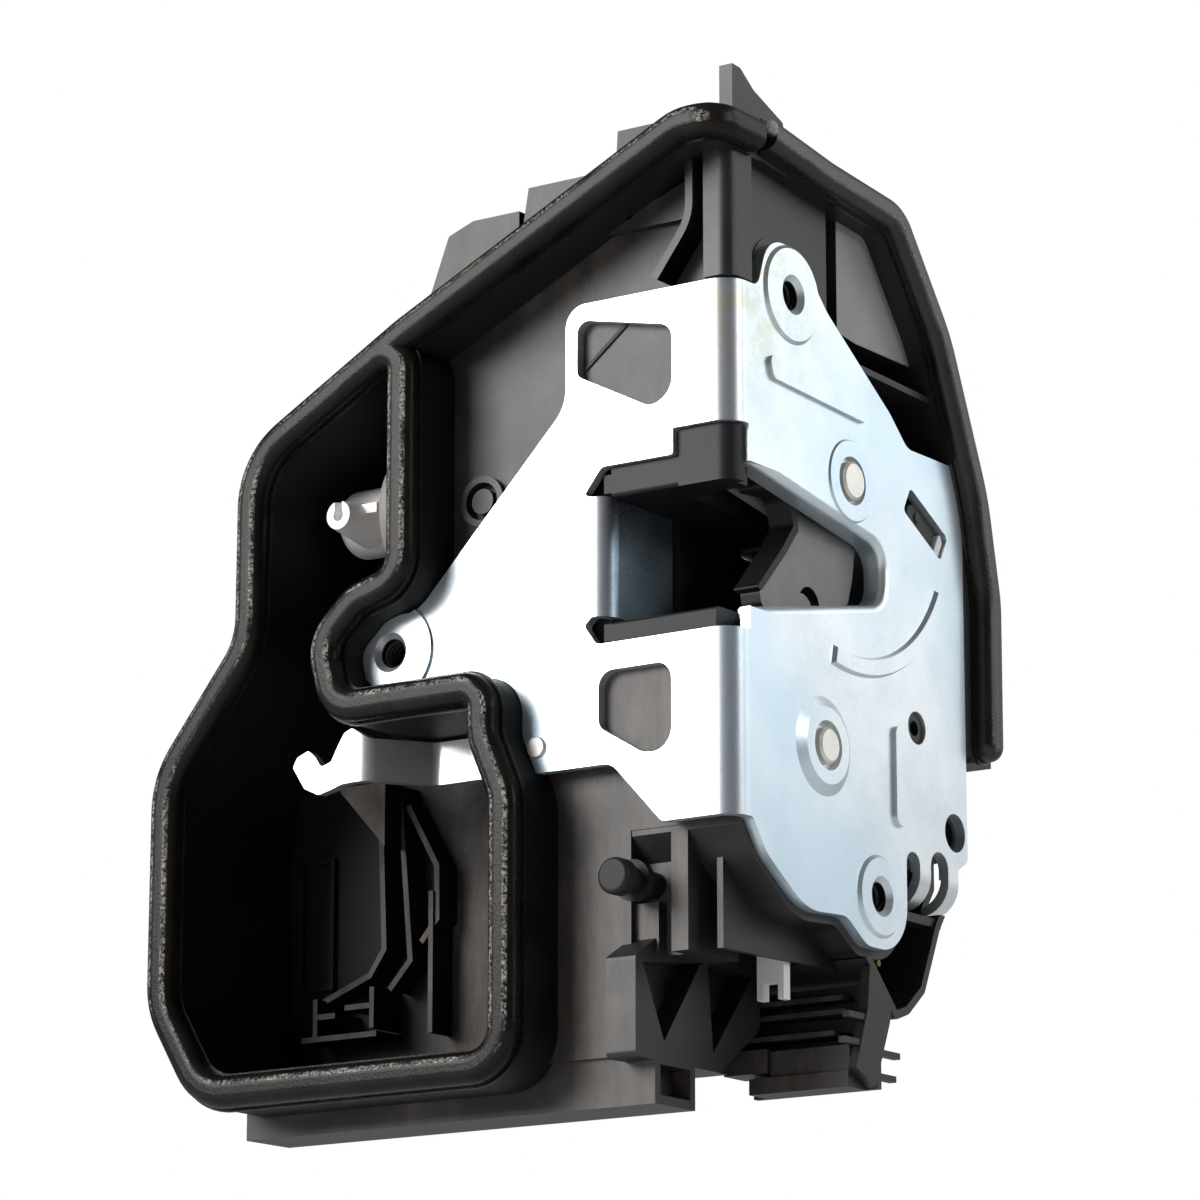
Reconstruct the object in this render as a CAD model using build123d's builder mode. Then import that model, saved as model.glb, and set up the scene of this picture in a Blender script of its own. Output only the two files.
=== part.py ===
"""Vehicle door latch actuator: sheet steel latch plate, claw and pawl, plastic actuator housing.

Millimetres, +Z up. X = 0 is the outer face of the end plate (the face at the door's edge, normal +X),
Y = 0 the outer face of the side flange (normal -Y), Z = 0 the height of the striker's axis.
"""
import os
from math import cos, radians, sin, tan

from build123d import *

# ---------------------------------------------------------------- driving sizes
SHEET = 2.0                 # latch plate sheet
BEND = 4.4                  # outside radius of the plate's corner
PLATE_Y = 76.2              # end plate's far edge
PLATE_TOP, PLATE_LOW = 44.6, -49.4      # sheet edges at the corner
SCREW_R = 2.5               # core radius of the M6 threads
LEAD_R = 3.6                # mouth of the thread's lead-in
COLLAR_R, COLLAR_L = 4.6, 6.0           # drawn collar behind each threaded hole
PAD = 0.6                   # height of the embossed pads

TOP_HOLE = (18.8, 45.5)     # Y, Z of the fixing holes in the end plate
LOW_HOLE = (45.8, -57.3)
SIDE_HOLE = (-72.5, -12.8)  # X, Z of the fixing hole in the side flange
PIN_A = (38.0, 16.0)        # Y, Z of the claw's pin
PIN_B = (27.8, -33.5)       # Y, Z of the pawl's pin
PIN_R = 4.4
FIT = 0.08                  # radial running clearance

RIM_X = -2.0                # housing's front rim, against the plate's inner face
CLAW_X, CLAW_T = -9.0, 4.0  # claw's back face and steel thickness
CAV_X = -10.6               # floor of the claw's space
BACK_T = 1.6                # back plate sheet
BLOCK_X = -26.0             # back of the latch block
CLAW_R = 33.8               # claw's outer radius
SWEEP_R = CLAW_R + 1.2

FACE_Y = 4.3                # housing face behind the side flange
WALL_Y = -5.6               # top of the seal's wall
CASE_Y = 34.0               # back of the housing
WALL_T = 6.0                # seal wall
SKIN = 3.0                  # housing's wall
BEAD_W, BEAD_H = 5.8, 3.9   # seal bead
LIP_W, LIP_T = 6.8, 0.6     # flat lip under the bead
POCKET_Y = 26.0             # floor of the cable pocket
SEAL_X = 0.0                # top of the end seal's wall


# ---------------------------------------------------------------- helpers
def outline(*pts, closed=True):
    """Lines through (u, v) points; a third value rounds that corner."""
    n = len(pts)
    ends = []
    for i, p in enumerate(pts):
        r = p[2] if len(p) > 2 else 0
        here = Vector(p[0], p[1])
        if r == 0 or (not closed and i in (0, n - 1)):
            ends.append((here, None, here))
            continue
        a = (Vector(*pts[i - 1][:2]) - here).normalized()
        b = (Vector(*pts[(i + 1) % n][:2]) - here).normalized()
        half = radians(a.get_angle(b)) / 2
        run = r / tan(half)
        mid = here + (a + b).normalized() * (r / sin(half) - r)
        ends.append((here + a * run, mid, here + b * run))
    for i in range(n):
        if ends[i][1] is not None:
            ThreePointArc(*ends[i])
        if i < n - 1 or closed:
            start, stop = ends[i][2], ends[(i + 1) % n][0]
            if (stop - start).length > 1e-4:
                Line(start, stop)


def slab(plane, pts, depth, mode=Mode.ADD, grow=0.0):
    """Extrude a closed outline drawn on a plane."""
    with BuildSketch(plane) as sk:
        with BuildLine():
            outline(*pts)
        make_face()
        if grow:
            offset(amount=grow, kind=Kind.ARC)
    extrude(sk.sketch, amount=depth, mode=mode)


def along_x(pts, x0, x1, mode=Mode.ADD, grow=0.0):
    slab(Plane.YZ.offset(x0), pts, x1 - x0, mode, grow)


def along_y(pts, y0, y1, mode=Mode.ADD, grow=0.0):
    slab(Plane.XZ.offset(-y1), pts, y1 - y0, mode, grow)


def along_z(pts, z0, z1, mode=Mode.ADD, grow=0.0):
    slab(Plane.XY.offset(z0), pts, z1 - z0, mode, grow)


def block(x, y, z, mode=Mode.ADD):
    with Locations(((x[0] + x[1]) / 2, (y[0] + y[1]) / 2, (z[0] + z[1]) / 2)):
        Box(x[1] - x[0], y[1] - y[0], z[1] - z[0], mode=mode)


def rod(axis, at, start, stop, r, mode=Mode.ADD, r2=None):
    """Cylinder or cone between two stations on a line parallel to a row axis."""
    plane = {"x": Plane.YZ, "y": Plane(origin=(0, 0, 0), x_dir=(0, 0, 1), z_dir=(0, 1, 0)), "z": Plane.XY}[axis]
    u, v = (at[1], at[0]) if axis == "y" else at
    with BuildSketch(plane.offset(start)) as low:
        with Locations((u, v)):
            Circle(r)
    if r2 is None:
        extrude(low.sketch, amount=stop - start, mode=mode)
    else:
        with BuildSketch(plane.offset(stop)) as high:
            with Locations((u, v)):
                Circle(r2)
        loft([low.sketch, high.sketch], mode=mode)


def polar(center, r, deg):
    return (center[0] + r * cos(radians(deg)), center[1] + r * sin(radians(deg)))


# ---------------------------------------------------------------- outlines shared by several pieces
END_OUTLINE = [
    (BEND, PLATE_TOP), (8.2, PLATE_TOP, 2.5), (11.6, 54.3, 6.5), (21.4, 54.3, 6.0), (30.6, 45.3, 12),
    (51.6, 31.4, 5), (57.4, 26.2, 4), (73.6, 26.2, 3), (PLATE_Y, 22.0, 3), (PLATE_Y, -46.6, 1),
    (72.8, -48.6, 1), (72.8, -50.7), (69.3, -50.7), (69.3, -46.3, 2.95), (63.3, -46.3, 2.95),
    (63.3, -50.7), (59.6, -50.7), (59.6, -47.6, 2.25), (55.0, -47.6, 2.25), (55.0, -66.5, 8.8),
    (41.5, -66.5, 5), (34.8, -62.2, 5), (22.0, -63.0, 14), (9.6, -55.0, 9), (5.4, PLATE_LOW, 1.5),
    (BEND, PLATE_LOW)]
BLOCK_OUTLINE = [
    (4.5, 44.6), (8.2, 44.8, 2), (11.0, 55.6, 7), (22.0, 55.6, 7), (31.6, 46.4, 12), (52.6, 32.6, 5),
    (58.0, 27.2, 4), (75.6, 27.2, 3), (75.6, -46.0), (56.4, -51.0), (56.4, -68.0, 9.5), (41.0, -68.0, 5),
    (34.2, -63.7, 5), (21.6, -64.5, 14), (8.6, -55.6, 9), (4.5, -50.4)]
MOUTH = [(-3.0, 12.6), (5.0, 12.6), (49.0, 5.8, 4.8), (49.0, -4.2, 4.8), (5.0, -13.0), (-3.0, -13.0)]
POST_R = 2.6                # rounded edge of the corner post
SLANT = [(-80.0, 34.8), (-65.2, 43.0, 30), (-6.0, 70.9, 10), (-POST_R, 70.9)]
ARCH = [(9.0, 72.0), (28.0, 69.4, 20), (50.8, 67.6, 7), (65.8, 48.3, 30), (78.0, 21.0, 40), (82.0, 2.0, 20), (81.8, -24.6)]
SEAT = [(12, 27, 3), (48, 27, 6), (60, 18, 4), (60, -20, 4), (46, -44, 4), (16, -44, 4), (12, -30, 3)]
POCKET_LINE = [
    (-65.2, 43.0, 4), (-98.8, 24.4, 14), (-99.0, -9.0, 14), (-117.6, -32.0, 16), (-117.8, -73.0, 14),
    (-108.0, -89.5, 10), (-42.5, -89.5, 7), (-42.5, -43.0, 10), (-47.2, -32.0, 8), (-47.2, -23.3, 4.2),
    (-79.4, -23.3, 6), (-82.6, -11.0, 7), (-75.0, -4.2, 7), (-65.2, -1.6, 6)]
FLANGE = [
    (-BEND, PLATE_TOP), (-34.9, PLATE_TOP, 4), (-34.9, 26.6, 8), (-65.2, -4.2, 3), (-68.0, -6.2, 2),
    (-79.2, -6.2, 6.4), (-79.2, -19.4, 6.4), (-52.0, -19.6, 7), (-44.3, -24.5, 6), (-44.3, -34.5, 3),
    (-42.0, -38.2, 2), (-25.4, -38.2, 4), (-15.0, PLATE_LOW, 1.5), (-BEND, PLATE_LOW)]

# ---------------------------------------------------------------- latch plate
with BuildPart() as latch_plate:
    along_y(FLANGE, 0, SHEET)
    along_x(END_OUTLINE, -SHEET, 0)
    with BuildSketch(Plane.XY.offset(PLATE_LOW)) as corner:
        with Locations((-BEND, BEND)):
            Circle(BEND)
            Circle(BEND - SHEET, mode=Mode.SUBTRACT)
            with Locations((BEND, -BEND)):
                Rectangle(2 * BEND, 2 * BEND, mode=Mode.INTERSECT)
    extrude(corner.sketch, amount=PLATE_TOP - PLATE_LOW)
    # embossed pads, ring lands, ridge and claw relief on the end plate
    rod("x", TOP_HOLE, 0, PAD, 8.9, r2=8.3)
    rod("x", PIN_A, 0, 0.35, 7.5, r2=7.2)
    rod("x", PIN_B, 0, 1.1, 8.8, r2=6.8)
    rod("x", LOW_HOLE, 0, PAD, 7.4, r2=6.8)
    with BuildSketch(Plane.YZ) as relief:
        with BuildLine():
            CenterArc((PIN_A[0], PIN_A[1]), 33.3, -102, 75)
        trace(line_width=3.6)
    extrude(relief.sketch, amount=0.8, taper=30)
    slab(Plane.YZ, [(50.8, -26, 1.9), (54.8, -25, 1.9), (54.8, -43.8, 1.9), (50.8, -43.8, 1.9)], 0.8)
    slab(Plane.YZ, [(10.5, 33.2, 1.5), (44.0, 31.6, 2.2), (42.5, 27.4, 1.5), (12.0, 28.8, 1.5)], 0.8)
    # the mouth's edge is turned inwards
    along_x(MOUTH, -4.4, 0, grow=1.9)
    along_x(MOUTH, -6, 2, Mode.SUBTRACT)
    fillet(latch_plate.edges().filter_by(lambda e: abs(e.center().X) < 1e-3 and 5.5 < e.center().Y < 49.5
                                         and -13.2 < e.center().Z < 12.8), 1.5)
    block((-12.4, 2), (-8, 5.0), (-17.0, 19.2), Mode.SUBTRACT)
    block((-12.4, -2.1), (-8, 8.0), (-17.0, 19.2), Mode.SUBTRACT)
    along_y([(-12.3, 19.2, 1.4), (0, 19.2), (0, -17.0), (-28.4, -17.0, 1.6), (-31.0, -13.4, 0.8),
             (-29.4, -12.0), (-29.4, 9.4), (-31.0, 9.9, 0.5), (-27.3, 14.5, 1.6), (-12.3, 14.5, 0.8)],
            -1, SHEET + 1, Mode.SUBTRACT)
    # its left edge is a tab bent into the door
    with BuildSketch(Plane.XY.offset(-12.0)) as tab:
        with Locations((-29.4, 3.4)):
            Circle(3.4)
            Circle(3.4 - SHEET, mode=Mode.SUBTRACT)
            with Locations((3.4, -3.4)):
                Rectangle(6.8, 6.8, mode=Mode.INTERSECT)
        with Locations((-29.4 + 3.4 - SHEET / 2, 3.4 + 8.3)):
            Rectangle(SHEET, 16.6)
    extrude(tab.sketch, amount=21.4)
    # two lightening windows beside the mouth
    along_y([(-32.5, 41.9, 2.2), (-12.5, 37.8, 3), (-12.5, 26.0, 4.4), (-16.8, 23.6, 3.4), (-32.5, 31.6, 1.6)],
            -1, SHEET + 1, Mode.SUBTRACT)
    along_y([(-28.0, -21.8, 3), (-12.9, -21.8, 3), (-12.9, -37.6, 4), (-18.9, -37.0, 3), (-28.0, -31.6, 2.4)],
            -1, SHEET + 1, Mode.SUBTRACT)
    # clear of the pocket's seal wall
    along_y(POCKET_LINE, -1, SHEET + 1, Mode.SUBTRACT, grow=WALL_T / 2 + 0.15)
    # raised land round the side fixing hole
    with BuildSketch(Plane.XZ) as land:
        with Locations(SIDE_HOLE):
            Circle(8.9)
        with BuildLine():
            outline(*FLANGE)
        make_face(mode=Mode.INTERSECT)
        with BuildLine():
            outline(*POCKET_LINE)
        wall = make_face(mode=Mode.PRIVATE)
        add(offset(wall, amount=WALL_T / 2 + 0.15, kind=Kind.ARC, mode=Mode.PRIVATE), mode=Mode.SUBTRACT)
    extrude(land.sketch, amount=PAD)
    # drawn collars, threads' core holes and lead-ins
    for at, face in ((TOP_HOLE, PAD), (LOW_HOLE, PAD)):
        rod("x", at, -COLLAR_L, -SHEET, COLLAR_R)
        rod("x", at, -COLLAR_L - 1, 2, SCREW_R, Mode.SUBTRACT)
        rod("x", at, face - (LEAD_R - SCREW_R), face, SCREW_R, Mode.SUBTRACT, LEAD_R)
    rod("y", SIDE_HOLE, SHEET, COLLAR_L, COLLAR_R)
    rod("y", SIDE_HOLE, -2, COLLAR_L + 1, SCREW_R, Mode.SUBTRACT)
    rod("y", SIDE_HOLE, -PAD, -PAD + LEAD_R - SCREW_R, LEAD_R, Mode.SUBTRACT, SCREW_R)
    # pin holes, locating holes, slanted slot
    rod("x", PIN_A, -3, 2, PIN_R, Mode.SUBTRACT)
    rod("x", PIN_B, -3, 3, PIN_R, Mode.SUBTRACT)
    rod("x", (59.2, -24.9), -3, 2, 3.0, Mode.SUBTRACT)
    rod("x", (71.9, -42.0), -3, 2, 3.5, Mode.SUBTRACT)
    with BuildSketch(Plane.YZ.offset(-3)) as slot:
        with Locations(Location((63.3, 13.4, 0), (0, 0, -28))):
            RectangleRounded(14.4, 5.4, 1.0)
    extrude(slot.sketch, amount=5, mode=Mode.SUBTRACT)
    rod("y", (-40.9, -33.7), -1, 3, 1.6, Mode.SUBTRACT)
    # two tongues curled behind the plate's lower corner
    for y0, y1 in ((59.6, 63.3), (69.3, 72.8)):
        with BuildSketch(Plane.XZ.offset(-y1)) as tongue:
            with BuildLine():
                Line((0, -50.7), (0, -51.0))
                ThreePointArc((0, -51.0), (-1.6, -55.2), (-5.6, -57.0))
                Line((-5.6, -57.0), (-5.6, -55.4))
                ThreePointArc((-5.6, -55.4), (-3.0, -53.9), (-1.6, -51.0))
                Line((-1.6, -51.0), (-1.6, -50.7))
                Line((-1.6, -50.7), (0, -50.7))
            make_face()
        extrude(tongue.sketch, amount=y1 - y0)

# ---------------------------------------------------------------- back plate, pins, rivet
with BuildPart() as back_plate:
    along_x(SEAT, CAV_X - BACK_T, CAV_X)
    along_x(MOUTH, CAV_X - 4, CAV_X + 1, Mode.SUBTRACT, grow=0.8)
    for at in (PIN_A, PIN_B):
        rod("x", at, CAV_X - 4, CAV_X + 1, 3.0, Mode.SUBTRACT)

with BuildPart() as claw_pin:
    rod("x", PIN_A, CAV_X, -0.9, PIN_R - FIT / 2)
    rod("x", PIN_A, CAV_X - BACK_T - 1.2, CAV_X, 2.95)
    rod("x", PIN_A, -0.9, 0.5, 3.5)
    rod("x", PIN_A, 0.5, 0.9, 3.5, r2=3.0)

with BuildPart() as pawl_pin:
    rod("x", PIN_B, CAV_X, -0.3, PIN_R - FIT / 2)
    rod("x", PIN_B, CAV_X - BACK_T - 1.2, CAV_X, 2.95)
    rod("x", PIN_B, -0.3, 1.2, 3.2)
    rod("x", PIN_B, 1.2, 1.6, 3.2, r2=2.7)

with BuildPart() as flange_rivet:
    rod("y", (-40.9, -33.7), -0.7, 0, 1.7, r2=1.9)
    rod("y", (-40.9, -33.7), 0, FACE_Y, 1.55)

# ---------------------------------------------------------------- claw
LEG = [(27.4, 7.4), (27.6, 5.4), (23.6, 0.6, 22), (15.6, -7.6, 0.8), (16.2, -9.6, 1.0), (20.5, -12.9, 12),
       (29.3, -16.6, 8), (38.5, -14.6, 5), (44.6, -4.0), (46.1, 0.6), (47.4, 9.0, 4), (46.6, 22.0, 6), (30, 24, 6)]
JAW = [(30, 24, 5), (17.6, 19.4, 3), (17.2, 11.9, 1.2), (24.4, 12.5, 3), (29.0, 9.6), (34, 6), (42, 20)]

with BuildPart() as claw:
    along_x(LEG, CLAW_X, CLAW_X + CLAW_T)
    along_x(JAW, CLAW_X, CLAW_X + CLAW_T)
    rod("x", PIN_A, CLAW_X, CLAW_X + CLAW_T, 11.2)
    rod("x", PIN_A, CAV_X, 0, PIN_R + FIT / 2, Mode.SUBTRACT)
    rod("x", (31.6, -7.2), -20, 0, 3.4, Mode.SUBTRACT)
    rod("x", (29.2, -9.0), CLAW_X, CLAW_X + CLAW_T, 3.6)
    rod("x", (43.4, 22.0), -20, 0, 1.4, Mode.SUBTRACT)

with BuildPart() as claw_cover:
    # moulded jacket along the throat, over both faces
    with BuildSketch(Plane.YZ.offset(CLAW_X - 0.5)) as jacket:
        with BuildLine():
            outline((27.4, 7.4), (27.6, 5.4), (23.6, 0.6, 22), (15.6, -7.6, 0.3), (14.2, -7.2, 0.3), (22.4, 1.4, 24),
                    (26.2, 6.2, 1.2), (24.0, 11.2, 2), (16.0, 10.6, 0.8), (16.0, 11.9), (24.4, 12.5, 3), (26.6, 11.0))
        make_face()
    extrude(jacket.sketch, amount=CLAW_T + 1.0)
    for shape in (LEG, JAW):
        along_x(shape, CLAW_X - 1, CLAW_X + CLAW_T + 1, Mode.SUBTRACT)

# ---------------------------------------------------------------- pawl
PAWL = [(22.0, -39.5, 6), (33.0, -40.0, 6), (44.0, -30.0, 8), (54.6, -20.4, 1.5), (51.8, -15.6, 0.8), (49.0, -17.4, 1),
        (36.0, -25.4, 6), (21.5, -27.5, 6)]
with BuildPart() as pawl:
    along_x(PAWL, CLAW_X, CLAW_X + CLAW_T)
    rod("x", PIN_B, CLAW_X - 1.2, CLAW_X, 6.6)
    rod("x", PIN_B, CAV_X, 0, PIN_R + FIT / 2, Mode.SUBTRACT)
    rod("x", (42.0, -26.4), CLAW_X - 1.3, CLAW_X, 2.0)

# ---------------------------------------------------------------- springs
def torsion_spring(pin, x0, r, wire, legs):
    """Close-wound coils on a pin with two straight legs."""
    with BuildSketch(Plane.XZ.offset(-pin[0])) as coils:
        with Locations((x0, pin[1] + r)):
            SlotCenterToCenter(1.8 * wire, 2 * wire)
    revolve(coils.sketch, axis=Axis((0, pin[0], pin[1]), (1, 0, 0)))
    for deg, station, length in legs:
        start = polar(pin, r, deg)
        d = (-sin(radians(deg)), cos(radians(deg)))
        with BuildSketch(Plane(origin=(station, start[0] - d[0], start[1] - d[1]), z_dir=(0, d[0], d[1]))) as leg:
            Circle(0.9 * wire)
        extrude(leg.sketch, amount=length)


with BuildPart() as claw_spring:
    torsion_spring(PIN_A, -3.4, 5.5, 0.5, ((100, -3.8, 13), (20, -3.0, 9)))
with BuildPart() as pawl_spring:
    torsion_spring(PIN_B, -3.4, 6.4, 0.5, ((150, -3.8, 9), (330, -3.0, 10)))

# ---------------------------------------------------------------- striker guide
with BuildPart() as mouth_guide:
    along_x([(1.1, 14.2), (1.1, 9.0, 0.8), (20, 9.0), (40, 7.4), (40, 14.2)], -26.0, -14.8)
    along_x([(1.1, 14.2), (1.1, 9.0, 0.8), (9.0, 9.0), (9.0, 14.2)], -14.8, -10.2)
    along_z([(-12.0, 1.1), (-0.8, 1.1, 3.4), (-0.8, 4.85), (-12.0, 4.85)], 9.0, 18.9)
    block((-10.2, -2.3), (4.0, 7.9), (9.0, 18.8))
    along_x([(1.1, -13.1, 0.8), (20, -13.1), (40, -8.4), (40, -16.8), (1.1, -16.8)], -26.0, -14.8)
    along_x([(1.1, -13.1, 0.8), (9.0, -13.1), (9.0, -16.8), (1.1, -16.8)], -14.8, -4.4)
    block((-26.0, -24.6), (20.4, 40.0), (-13.4, 9.0))
    block((-27.6, -26.0), (1.2, 3.2), (9.9, 13.2))
    block((-27.6, -26.0), (1.2, 3.2), (-16.4, -13.4))

# ---------------------------------------------------------------- housing
KEEP = 0.3                  # clearance kept round soft or moving pieces
ROOM = [(-61.5, 39.5, 2), (-28.6, 39.5, 2), (-28.6, -37.0, 2), (-41.0, -37.0, 2), (-41.0, -20.2, 1), (-61.5, -20.2, 2)]
ROOM_Y = FACE_Y + SKIN      # floor of the mechanism's room
MOTOR_AT = (-37.5, 17.5)    # X, Y of the motor's axis
MOTOR_R = 8.6
WHEEL_AT = (-51.2, -3.0)    # X, Z of the worm wheel's axis
WHEEL_R = 9.6               # tooth tips
CRANK_AT = (14.0, 15.9)     # Y, Z of the lock crank's axis
CRANK_R = 5.0               # its journal
COLLAR_AT = (15.5, 14.5)    # Y, Z of the collar disc's centre
COLLAR_X = -77.6            # its outer face
LEVER_AT = (-37.5, -27.0)   # X, Z of the inside lever's pivot
LOCK_BORE = CRANK_R + FIT
SHAFT_R = 1.2               # worm shaft
BOARD_Y = 28.0              # near face of the circuit carrier
COVER_SCREWS = ((-57.0, 42.6), (-33.0, 43.2), (-34.8, -40.8), (-44.0, -26.0))     # X, Z
COVER = [(-64.6, 41.4, 2), (-54.0, 46.4, 3), (-26.3, 46.4, 3), (-26.3, -44.2, 3), (-40.5, -44.2, 3),
         (-46.6, -31.0, 2), (-46.6, -22.8, 1), (-64.6, -22.8, 2)]

with BuildPart() as moulding:
    # actuator case behind the side flange
    along_y([(RIM_X - 0.2, PLATE_LOW), (RIM_X - 0.2, 68.6), (-13, 67.6), (-65.2, 43.0), (-65.2, -1.6), (-75.0, -4.2, 6),
             (-82.6, -11.0, 6), (-79.4, -23.3, 6), (-47.2, -23.3), (-47.2, -32), (-42.5, -43), (-42.5, -88.0),
             (-24.2, -88.0), (-24.2, PLATE_LOW)], FACE_Y, CASE_Y)
    # raised land the side flange lies on
    along_y([(-4.8, 42.5), (-32.5, 42.5, 3), (-32.5, 25.5, 8), (-63.0, -5.0), (-76.5, -8.0, 4), (-76.5, -18.0, 4),
             (-50.0, -18.5, 6), (-44.4, -25.5), (-44.4, -36.0), (-26.4, -36.0, 3), (-17.0, -47.0), (-4.8, -47.0)],
            SHEET, FACE_Y)
    # latch block behind the end plate
    along_x(BLOCK_OUTLINE, BLOCK_X, RIM_X)
    # cable pocket and its seal wall
    along_y(POCKET_LINE, WALL_Y, POCKET_Y + SKIN, grow=WALL_T / 2)
    along_y(POCKET_LINE, WALL_Y - 1, POCKET_Y, Mode.SUBTRACT, grow=-WALL_T / 2)
    # slanted seal wall up to the corner
    with BuildSketch(Plane.XZ.offset(-FACE_Y)) as slant:
        with BuildLine():
            outline(*SLANT, closed=False)
        trace(line_width=WALL_T)
    extrude(slant.sketch, amount=FACE_Y - WALL_Y)
    # corner post above the sheet, with its rounded edge
    along_z([(-5.6, -0.4), (0.0, -0.4, POST_R), (0.0, 6.4), (-5.6, 6.4)], PLATE_TOP + 0.3, 68.2)
    along_z([(-5.6, WALL_Y), (0.0, WALL_Y, POST_R), (0.0, 9.4), (-5.6, 9.4)], 67.6, 74.2)
    # upper corner pocket: outer wall carrying the end seal
    with BuildSketch(Plane.YZ.offset(-24)) as arch:
        with BuildLine():
            outline((0.0, 71.9), *ARCH[1:-1], (81.8, -28.0), closed=False)
        trace(line_width=WALL_T + 0.6)
    extrude(arch.sketch, amount=SEAL_X + 24)
    along_x([(4.4, 44), (4.4, 72), (50, 69), (64, 50), (77, 21), (81, 2), (81, -27), (74, -27), (74, 26), (52, 30)],
            BLOCK_X, -22)
    along_x([(43.0, 38.8), (43.0, 37.6), (72.8, 36.8), (72.8, 38.0)], -22, -1.0)
    along_x([(39.5, 44.5), (39.5, 70.0), (50.0, 68.0), (62.0, 50.0), (66.0, 43.7), (45.5, 43.7)], -22, -3.5)
    along_x([(75.0, 26), (78.0, 21), (80.0, 2), (80.0, -27), (75.0, -27)], -22, 0)
    # curved rib beside the corner post
    with BuildSketch(Plane.XZ.offset(-FACE_Y)) as rib:
        with BuildLine():
            outline((-8.2, 66.5), (-8.2, 56.0, 9), (-15.5, 46.4), closed=False)
        trace(line_width=1.5)
    extrude(rib.sketch, amount=FACE_Y + 1.0)
    along_y([(-6, 57.4), (-6, 66), (-31, 57.4)], 2.6, FACE_Y)
    # locating boss and vent on the case face
    rod("y", (-55.2, 13.1), 2.9, FACE_Y, 4.6)
    rod("y", (-55.2, 13.1), 2.0, FACE_Y + 1.0, 3.4, Mode.SUBTRACT)
    rod("y", (-55.2, 13.1), 3.2, FACE_Y + 1.2, 2.3)
    rod("y", (-23.4, 61.0), 2.0, FACE_Y + 1.6, 1.6, Mode.SUBTRACT)
    # fin and two raised shoulders on top
    along_x([(3.4, 72), (3.4, 84.3), (6.0, 84.2, 1), (10.2, 81.3, 3), (19.8, 77.8, 0.5), (19.8, 71)], -4.6, -1.9)
    along_y([(-77.0, 34.0), (-77.0, 57.0), (-72.5, 68.6), (-67.0, 70.6), (-56.6, 70.6), (-56.6, 46)], 16, CASE_Y)
    along_y([(-57.0, 45), (-57.0, 60), (-54.5, 74.6), (-30.0, 74.6), (-30.0, 56)], 16, CASE_Y)
    # lower front: gusset pockets, stepped block, bottom bar
    along_y([(-24.2, -50), (-12.6, -50), (-12.6, -71), (-24.2, -71)], 8.0, 20)
    block((-24.2, -19.4), (5.6, 8.2), (-71, -62))
    block((-16.0, -12.6), (4.4, 8.2), (-71, -50.4))
    along_x([(-0.6, -71.8, 1), (6.0, -68.0), (38.0, -66.0), (38.0, -80.0, 2), (25.0, -89.0), (-0.6, -89.0, 1)], -26, -20.0)
    along_x([(1.6, -72.8), (19.4, -70.6), (8.0, -85.6)], -24.5, -19, Mode.SUBTRACT)
    along_x([(21.4, -70.2), (35.4, -71.0), (23.1, -85.8)], -24.5, -19, Mode.SUBTRACT)
    along_x([(8.2, -54.0), (8.2, -70.6), (44.0, -69.8), (44.0, -60.0)], -9.2, -8.0)
    block((-108, -20), (5.2, 17.4), (-96.4, -88))
    block((-23.6, -19), (6.8, 15.9), (-94.8, -89.6), Mode.SUBTRACT)
    along_x(END_OUTLINE, RIM_X, 1, Mode.SUBTRACT, grow=0.15)
    # claw and pawl space, open towards the end plate
    with BuildSketch(Plane.YZ.offset(CAV_X)) as room:
        with BuildLine():
            outline(*BLOCK_OUTLINE)
        make_face()
        offset(amount=-2.6, kind=Kind.ARC)
        with Locations(PIN_A):
            Circle(SWEEP_R, mode=Mode.INTERSECT)
    extrude(room.sketch, amount=30, mode=Mode.SUBTRACT)
    along_x([(17.5, -44.5, 5), (36.0, -45, 5), (62.0, -24, 4), (58.0, -8.0, 4), (30.0, -14.0), (17.5, -24.0, 5)],
            CAV_X, 20, Mode.SUBTRACT, grow=1.5)
    along_x(SEAT, CAV_X - BACK_T, CAV_X + 1, Mode.SUBTRACT, grow=0.05)
    for at in (PIN_A, PIN_B):
        rod("x", at, CAV_X - 5, CAV_X, 4.2, Mode.SUBTRACT)
    # striker channel, then the room of the guide and the bent tab
    along_x([(-2, 14.3), (40.05, 14.3), (40.05, 6.6), (49.0, 6.6, 5.8), (49.0, -5.6, 5.8), (40.05, -7.6), (40.05, -16.9),
             (-2, -16.9)], -26.05, 20, Mode.SUBTRACT)
    block((-13, 20), (-2, 9.05), (-16.9, 19.4), Mode.SUBTRACT)
    block((-31.4, -25), (-2, FACE_Y + 0.1), (-16.9, 14.6), Mode.SUBTRACT)
    block((-28.15, -25), (-2, 20.2), (-12.3, 9.7), Mode.SUBTRACT)
    # drawn collars and rivet tail
    for at in (TOP_HOLE, LOW_HOLE):
        rod("x", at, -20, 20, COLLAR_R + 0.15, Mode.SUBTRACT)
    rod("y", SIDE_HOLE, -1, 22, COLLAR_R + 0.15, Mode.SUBTRACT)
    rod("y", (-40.9, -33.7), -1, 8, 1.6, Mode.SUBTRACT)
    rod("x", (71.9, -42.0), -12, 20, 2.6, Mode.SUBTRACT)
    rod("x", (59.2, -24.9), RIM_X - 8, -0.6, 2.9)
    rod("x", (59.2, -24.9), -8, 20, 1.4, Mode.SUBTRACT)
    # boss and bearing of the lock crank through the pocket's wall
    rod("x", COLLAR_AT, COLLAR_X + 3.0, -64, 12.0)
    rod("x", CRANK_AT, -90, -60, LOCK_BORE, Mode.SUBTRACT)
    along_y(ROOM, ROOM_Y, CASE_Y + 1, Mode.SUBTRACT)
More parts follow.
